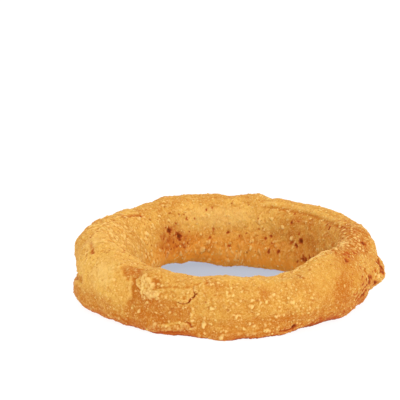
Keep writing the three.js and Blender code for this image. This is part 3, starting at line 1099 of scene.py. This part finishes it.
# %% Small tints
TINTS = [
    # small patches of their own: place, half length and width, and how far towards orange
    ((108, 150), (3.2, 2.2), -0.9), ((102, 150), (2.4, 1.8), -0.8), ((94, 137), (2.2, 1.4), -0.7),
    ((147, 158), (2.0, 2.6), -0.9), ((147, 141), (1.6, 1.6), -0.5),
    ((140, 126), (1.4, 2.4), -0.7), ((133, 121), (1.0, 1.8), -0.7),
    ((125, 120), (1.0, 1.8), -0.5), ((88, 108), (1.8, 1.6), -0.7), ((113, 118), (1.4, 1.8), -0.5),
    ((82, 140), (1.6, 1.4), -0.6), ((72, 145), (1.0, 1.2), -0.7), ((60, 125), (1.2, 1.0), -0.5),
    ((200, 29), (2.2, 3.0), -0.5), ((210, 33), (3.0, 2.0), -0.5), ((170, 101), (1.5, 2.0), -0.5),
    ((197, 73), (1.6, 2.2), -0.5), ((114, 140), (1.4, 1.6), 0.7), ((101, 216), (2.2, 2.0), 0.4),
    ((140, 100), (1.5, 2.5), 0.7), ((164, 117), (3.0, 3.0), 0.5), ((156, 135), (2.4, 3.0), 0.4),
    ((204, 106), (5.0, 3.0), -0.5), ((107, 188), (2.5, 1.6), 0.3), ((68, 152), (1.6, 1.6), 0.3),
    ((84, 160), (2.0, 1.2), 0.4), ((188, -30), (2.5, 2.2), 0.8), ((196, -31), (2.5, 1.8), 0.5),
    ((240, 11), (2.4, 1.8), 0.9), ((266, 56), (2.0, 1.3), 0.7), ((271, 48), (3.6, 1.5), 0.4),
    ((284, 40), (2.0, 2.0), 0.4), ((271, 92), (6.0, 1.5), -0.7), ((276, 73), (5.0, 1.5), -0.4),
    ((284, 92), (4.0, 1.5), -0.5), ((288, -18), (5.0, 2.4), 0.6), ((205, 45), (2.4, 2.4), -0.6),
    # The straw tint at around 95, section 136, is painted light over the same shaded turn.
    ((214, 30), (3.0, 3.0), -0.4), ((95, 136), (12.0, 5.0), -0.35), ((270, 66), (9.0, 2.5), -0.3),
    ((321, 66), (2.4, 2.0), 0.3), ((320, 28), (2.6, 2.4), 0.5), ((317, 8), (2.4, 2.6), 0.6),
    ((319, -14), (2.0, 2.0), 0.6), ((150, 196), (5.0, 4.0), -0.5), ((168, 168), (3.0, 3.0), -0.3),
    ((98, 107), (13.0, 4.0), 0.45), ((305, 46), (5.5, 2.6), -0.15),
]
for place, size, value in TINTS:
    broad += value * oval(place, size, TINT_EDGE * min(size), ragged=0.5)
print("laid", len(TINTS), "tints")

# %% Streaks, painted shade and light at the rolled rim, and blotches
# The crease below the rolled rim gets a painted shadow line, and the rolled band is paler straw,
# partly a painted highlight on its top.
CREASE_PAINTED_SHADE = 0.25
ROLL_STRAW_AND_HIGHLIGHT = 0.45
broad += CREASE_PAINTED_SHADE * crease_line - ROLL_STRAW_AND_HIGHLIGHT * rim_band
broad += 0.35 * streaks * (smooth_wall + 1.3 * masks["scar"])

# Blotches are strongest where the ring has few marks of its own.
foot = region(ALL_ROUND, (-78, -44), 9)
unmarked = np.maximum(region((10, 170), (-60, 75)), region((190, 350), (130, 240)))
blotches = noise_sum([(1.0, 8.0, 61), (0.6, 3.2, 62)])
# The foot gets more orange, partly as painted shade low on the ring.
broad += blotches * (0.30 + 0.35 * unmarked) + foot * 0.8
broad += 0.7 * noise(skin, 2.2, 64) * region(ALL_ROUND, (108, 250))
print("the broad number runs", span(broad))

# %% The red patch, the foot, and painted shade at the edges
# The red patch is the crust's own colour. Where the skin faces down by the table, outside and
# inside, a red-brown line is painted contact shadow, and the foot is browned, partly as painted
# shade.
red_patch = oval((125.0, 191), (4.6, 3.5), edge=3.2, ragged=0.5)
red_marks = step(-0.5, 0.7, noise(skin * np.array([1, 1, 0.6]), 0.8, 65))
outer_side = region(ALL_ROUND, (-100, 20), 10)
low_side = region((224, 352), (-120, 30), 16)
faces_down = -skin_out[..., 2]
contact_shadow = outer_side * step(0.64, 0.84, faces_down + 0.08 * wander)
inner_contact_shadow = region((20, 180), (190, 300), 10) * step(0.84, 0.95, faces_down)
fried = np.maximum.reduce([
    fried,
    red_patch * (0.14 + 0.27 * red_marks),
    0.30 * foot * step(-0.5, 0.6, noise(skin, 4.0, 63)),
    contact_shadow * (0.44 + 0.36 * low_side),
    0.30 * inner_contact_shadow,
])

# Higher up, skin that faces down gets a painted orange shade, but for two places that stay golden.
golden = np.maximum(region((274, 284), (-120, 0)), region((317, 327), (-120, 0)))
underside_shade = step(0.25, 0.7, faces_down + 0.1 * wander)
broad += (0.2 + 0.3 * low_side) * (outer_side * (1 - 0.6 * golden)) * underside_shade
print("a share of", round(float((fried > 0.3).mean()), 2), "of the skin is well browned")

# %% Painted light on the inner wall
# Painted light: towards its foot the inner wall is lightened towards a bright orange, where the
# real light leaves it in shade.
glow = step(150, 235, section) * (1 - step(262, 300, section))
glow = lessened(glow, [
    (0.55, region((18, 60), (150, 250), 30)),
    (0.5, region((136, 184), (150, 222), 20)),
    (0.35, region((52, 108), (170, 222), 16)),
])
# At the very foot the painted light is strongest, the colour moves towards straw, and the painted
# shade of the hollows is halved.
painted_light_foot = region(ALL_ROUND, (219, 272), 14)
glow = np.maximum(glow, 1.25 * painted_light_foot)
broad -= 0.8 * painted_light_foot
stand = lessened(stand, [(0.5, painted_light_foot)])
broad = np.clip(broad, -1.3, 1.3)
print("the glow runs", span(glow))

# %% [markdown]
# ## The crust as a mesh
#
# Now every point moves out along its own direction, and what would sink below the table is
# pressed flat. The masks travel with the mesh as attributes, one number per point. The mesh also
# gets a map, in four strips so that it isn't stretched, for whoever wants to bake its colours.

# %% Move the points out and lay the map
MAP_STRIPS = 4
MAP_MARGIN = 0.01

crust_points = skin + skin_out * relief[..., None]
crust_points[..., 2] = np.maximum(crust_points[..., 2], 0)


def closed_grid_faces():
    """Four corners for each patch of the grid, closed both ways."""
    index = np.arange(AROUND_STEPS * SECTION_STEPS).reshape(AROUND_STEPS, SECTION_STEPS)
    next_row = np.roll(index, -1, 0)
    next_both = np.roll(next_row, -1, 1)
    next_column = np.roll(index, -1, 1)
    return np.stack([index, next_row, next_both, next_column], axis=-1).reshape(-1, 4)


def strip_map():
    """Each corner's place on the map, strip by strip along the ring."""
    rows, columns = np.meshgrid(np.arange(AROUND_STEPS), np.arange(SECTION_STEPS), indexing="ij")
    strip = rows * MAP_STRIPS // AROUND_STEPS
    corner_rows = np.stack([rows, rows + 1, rows + 1, rows], axis=-1)
    corner_columns = np.stack([columns, columns, columns + 1, columns + 1], axis=-1)
    u = corner_rows * MAP_STRIPS / AROUND_STEPS - strip[..., None]
    v = corner_columns / SECTION_STEPS
    shrink = 1 - 2 * MAP_MARGIN
    u = MAP_MARGIN + shrink * u
    v = (strip[..., None] + MAP_MARGIN + shrink * v) / MAP_STRIPS
    return np.stack([u, v], axis=-1).reshape(-1, 2)


resting = round(100 * float((crust_points[..., 2] == 0).mean()), 1)
print(resting, "percent of the points rest on the table")


# %% Build the crust
def mesh_from(name, points, faces):
    """A mesh from points in millimetres and faces that all have the same number of corners."""
    mesh = bpy.data.meshes.new(name)
    sides = faces.shape[1]
    mesh.vertices.add(len(points))
    mesh.vertices.foreach_set("co", (points * MM).astype(np.float32).ravel())
    mesh.loops.add(faces.size)
    mesh.loops.foreach_set("vertex_index", faces.astype(np.int32).ravel())
    mesh.polygons.add(len(faces))
    starts = np.arange(0, faces.size, sides, dtype=np.int32)
    mesh.polygons.foreach_set("loop_start", starts)
    mesh.update(calc_edges=True)
    mesh.shade_smooth()
    return mesh


def give_numbers(mesh, **numbers):
    """Stores numbers for every point of a mesh, for its material to read by their names."""
    for name, values in numbers.items():
        everywhere = np.zeros(len(mesh.vertices), np.float32)
        everywhere[:] = np.ravel(values)
        mesh.attributes.new(name, "FLOAT", "POINT").data.foreach_set("value", everywhere)


def show(mesh, name):
    """Puts a mesh in the scene as a piece that rides on the ring."""
    piece = add_object(name, mesh)
    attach(piece, "root")
    return piece


crust_mesh = mesh_from("crust", crust_points.reshape(-1, 3), closed_grid_faces())
crust_map = crust_mesh.uv_layers.new(name="OFBake")
crust_map.uv.foreach_set("vector", strip_map().astype(np.float32).ravel())
give_numbers(crust_mesh, tone=crumb_tone, fried=fried, broad=broad, stand=stand, glow=glow)
crust = show(crust_mesh, "crust")
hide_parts("onion_ring")
print("the crust has", len(crust_mesh.polygons), "faces")

# %% [markdown]
# ## Loose crumbs
#
# A few crumbs do stand free of the batter and cast their own small shadows. Each is a low ball
# whose points are pushed in and out, pressed flat and sunk by a little more than half. They all
# go into one mesh per kind, because thousands of separate objects would be slow to draw.

# %% Make the ball that every loose crumb starts from
ball = bpy.data.meshes.new("ball")
ball_builder = bmesh.new()
bmesh.ops.create_icosphere(ball_builder, subdivisions=2, radius=1)
ball_builder.to_mesh(ball)
ball_builder.free()
ball_points = np.array([vertex.co for vertex in ball.vertices])
ball_faces = np.array([face.vertices for face in ball.polygons])
bpy.data.meshes.remove(ball)
print("each crumb starts as a ball of", len(ball_points), "points")

# %% Scatter the loose crumbs
CRUMB_KINDS = [
    {"name": "pale_crumbs", "count": 1400, "least": 0.15, "most": 0.40, "tone": (0.7, 0.25),
     "fried": 0.0},
    {"name": "toasted_crumbs", "count": 260, "least": 0.18, "most": 0.40, "tone": (-0.5, 0.3),
     "fried": 0.25},
]
SUNK = 0.12
FREE_OF_TABLE = 1.2
FREE_OF_PITS = 0.2


def crumb_shape(row, column, size):
    """The points of one crumb that is sunk into the crust at a point of the grid."""
    out = skin_out[row, column]
    side = unit(draw.normal(size=3))
    side = unit(side - out * (side @ out))
    axes = np.stack([side, np.cross(out, side), out])
    shape = ball_points * draw.uniform(0.72, 1.22, (len(ball_points), 1))
    shape = shape * [1, draw.uniform(0.65, 1.0), draw.uniform(0.55, 0.8)]
    return crust_points[row, column] + (shape @ axes) * size - out * SUNK * size


loose_weight = thick * (height > FREE_OF_TABLE) * (pit_mask < FREE_OF_PITS)
loose_meshes = []
for kind in CRUMB_KINDS:
    points = []
    tones = []
    for row, column in choose(kind["count"], loose_weight):
        points.append(crumb_shape(row, column, crumb_size(kind)))
        tones.append(draw.normal(*kind["tone"]))
    count = len(ball_points)
    faces = (ball_faces[None] + np.arange(len(points))[:, None, None] * count).reshape(-1, 3)
    mesh = mesh_from(kind["name"], np.concatenate(points), faces)
    give_numbers(mesh, tone=np.repeat(tones, count), fried=kind["fried"], broad=0, stand=0, glow=0)
    show(mesh, kind["name"])
    loose_meshes.append(mesh)
    print("scattered", len(points), kind["name"])

# %% [markdown]
# ## The colour of fried crumbs
#
# The colour is built once, as a node group, because the crust and the loose crumbs share it. It
# starts from gold, drifts towards straw or orange with the broad number, and takes painted light
# on the inner wall. Then it follows the finer numbers: hollows go orange and peaks pale, partly as
# painted shade and painted highlight, crumbs take their own tone, and what is fried goes
# red-brown, with some painted shade at the foot, the lip and the cracks.

# %% Helpers for node groups
COLOUR = "NodeSocketColor"
VALUE = "NodeSocketFloat"


def new_group(name, inputs, outputs):
    """A shader node group with named inputs and outputs, given as name and kind of socket."""
    group = bpy.data.node_groups.new(name, "ShaderNodeTree")
    for socket_name, kind in inputs:
        group.interface.new_socket(socket_name, in_out="INPUT", socket_type=kind)
    for socket_name, kind in outputs:
        group.interface.new_socket(socket_name, in_out="OUTPUT", socket_type=kind)
    return group, group.nodes.new("NodeGroupInput"), group.nodes.new("NodeGroupOutput")


def noise_node(tree, vector, width, detail=3.0, roughness=0.55):
    """A noise texture with lumps of a width in millimetres."""
    node = add_node(tree, "ShaderNodeTexNoise", Vector=vector, Scale=1 / (width * MM),
                    Detail=detail, Roughness=roughness)
    return node.outputs["Fac"]


print("lumps of 1 mm take a noise scale of", round(1 / MM))

# %% The colour group
colour_group, given, made = new_group(
    "fried crumb colour",
    [("Vector", "NodeSocketVector"), ("Gold", COLOUR), ("Straw", COLOUR), ("Orange", COLOUR),
     ("Pale", COLOUR), ("Lit", COLOUR), ("Rust", COLOUR), ("Brown", COLOUR), ("Broad", VALUE),
     ("Glow", VALUE), ("Tone", VALUE), ("Fried", VALUE), ("Stand", VALUE)],
    [("Color", COLOUR)],
)
take = given.outputs
middling = noise_node(colour_group, take["Vector"], 1.9)
fine = noise_node(colour_group, take["Vector"], 0.34, 2.0, 0.7)

LAYERS = [
    # what decides, from where to where, up to which share, towards which colour
    (take["Broad"], 0.0, -1.0, 1.0, "Straw"),
    (take["Broad"], 0.0, 1.0, 1.0, "Orange"),
    (middling, 0.48, 0.72, 0.35, "Orange"),
    (middling, 0.48, 0.28, 0.30, "Straw"),
    (fine, 0.50, 0.68, 0.40, "Pale"),
    (fine, 0.50, 0.32, 0.36, "Orange"),
    # Painted light on the inner wall, towards a bright orange.
    (take["Glow"], 0.0, 1.25, 0.94, "Lit"),
    # Hollows go orange and peaks pale: partly oil and dry crumb, partly painted shade and painted
    # highlight.
    (take["Stand"], -0.1, -1.1, 0.58, "Orange"),
    (take["Stand"], 0.1, 1.0, 0.25, "Pale"),
    (take["Tone"], 0.1, 1.1, 0.85, "Pale"),
    (take["Tone"], -0.1, -1.2, 0.50, "Orange"),
    (take["Fried"], 0.0, 0.5, 1.0, "Rust"),
    (take["Fried"], 0.5, 1.0, 0.75, "Brown"),
]
body = take["Gold"]
for decides, low, high, most, towards in LAYERS:
    share = ranged(colour_group, decides, low, high, 0.0, most)
    body = mix(colour_group, share, body, take[towards])
give(colour_group, made, {"Color": body})
print("the colour group has", len(colour_group.nodes), "nodes")

# %% [markdown]
# Fried crumbs are neither glossy nor dull. Oil fills the hollows and leaves the dry peaks matt,
# so the roughness follows the same numbers. The finest grain of all, finer than the mesh, is a
# bump.

# %% The surface group
surface_group, given, made = new_group(
    "fried crumb surface",
    [("Vector", "NodeSocketVector"), ("Stand", VALUE)],
    [("Roughness", VALUE), ("Height", VALUE)],
)
take = given.outputs
oil = noise_node(surface_group, take["Vector"], 3.0)
grain = noise_node(surface_group, take["Vector"], 0.22, 4.0, 0.65)
roughness = ranged(surface_group, oil, 0.35, 0.65, 0.48, 0.66)
dryness = ranged(surface_group, take["Stand"], -1.0, 1.0, 0.85, 1.2)
roughness = times(surface_group, roughness, dryness)
give(surface_group, made, {"Roughness": roughness, "Height": grain})
print("the surface group has", len(surface_group.nodes), "nodes")


# %% The crust's material
def fried_material(name, palette):
    """A material of fried crumbs with its own palette, which reads the mesh's numbers."""
    material, tree, shader, place = new_material(name)
    numbers = {}
    for attribute_name in ("broad", "glow", "tone", "fried", "stand"):
        node = add_node(tree, "ShaderNodeAttribute", {"attribute_name": attribute_name})
        numbers[attribute_name.title()] = node.outputs["Fac"]

    paint = add_node(tree, "ShaderNodeGroup", {"node_tree": colour_group}, Vector=place,
                     **palette, **numbers)
    surface = add_node(tree, "ShaderNodeGroup", {"node_tree": surface_group}, Vector=place,
                       Stand=numbers["Stand"])
    bump = add_node(tree, "ShaderNodeBump", Height=surface.outputs["Height"], Strength=0.6,
                    Distance=0.14 * MM)
    give(tree, shader, {
        "Base Color": paint.outputs["Color"],
        "Roughness": surface.outputs["Roughness"],
        "Normal": bump.outputs["Normal"],
        "Specular IOR Level": 0.04,
        "Subsurface Weight": 0.12,
        "Subsurface Radius": (1.0, 0.45, 0.15),
        "Subsurface Scale": 0.9 * MM,
    })
    return material


PALETTE = {
    "Gold": colour(221, 160, 68),
    "Straw": colour(238, 183, 86),
    "Orange": colour(196, 111, 26),
    "Pale": colour(253, 212, 130),
    # A bright orange for the painted light on the inner wall.
    "Lit": colour(248, 154, 46),
    "Rust": colour(190, 88, 28),
    "Brown": colour(112, 50, 16),
}
fried_crust = fried_material("fried crust", PALETTE)
for mesh in (crust_mesh, *loose_meshes):
    mesh.materials.append(fried_crust)
print("the crust and", len(loose_meshes), "kinds of loose crumbs have their material")

# %% [markdown]
# ## Finish
#
# Last, the sizes are written down: the crust may stand a little proud of the solid, but never
# much, because the ring's size was settled before its looks.

# %% Write the sizes and finish
shown_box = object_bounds()
shown_size = (shown_box[1] - shown_box[0]) / MM
print("the finished ring measures", [round(side, 1) for side in shown_size], "mm")
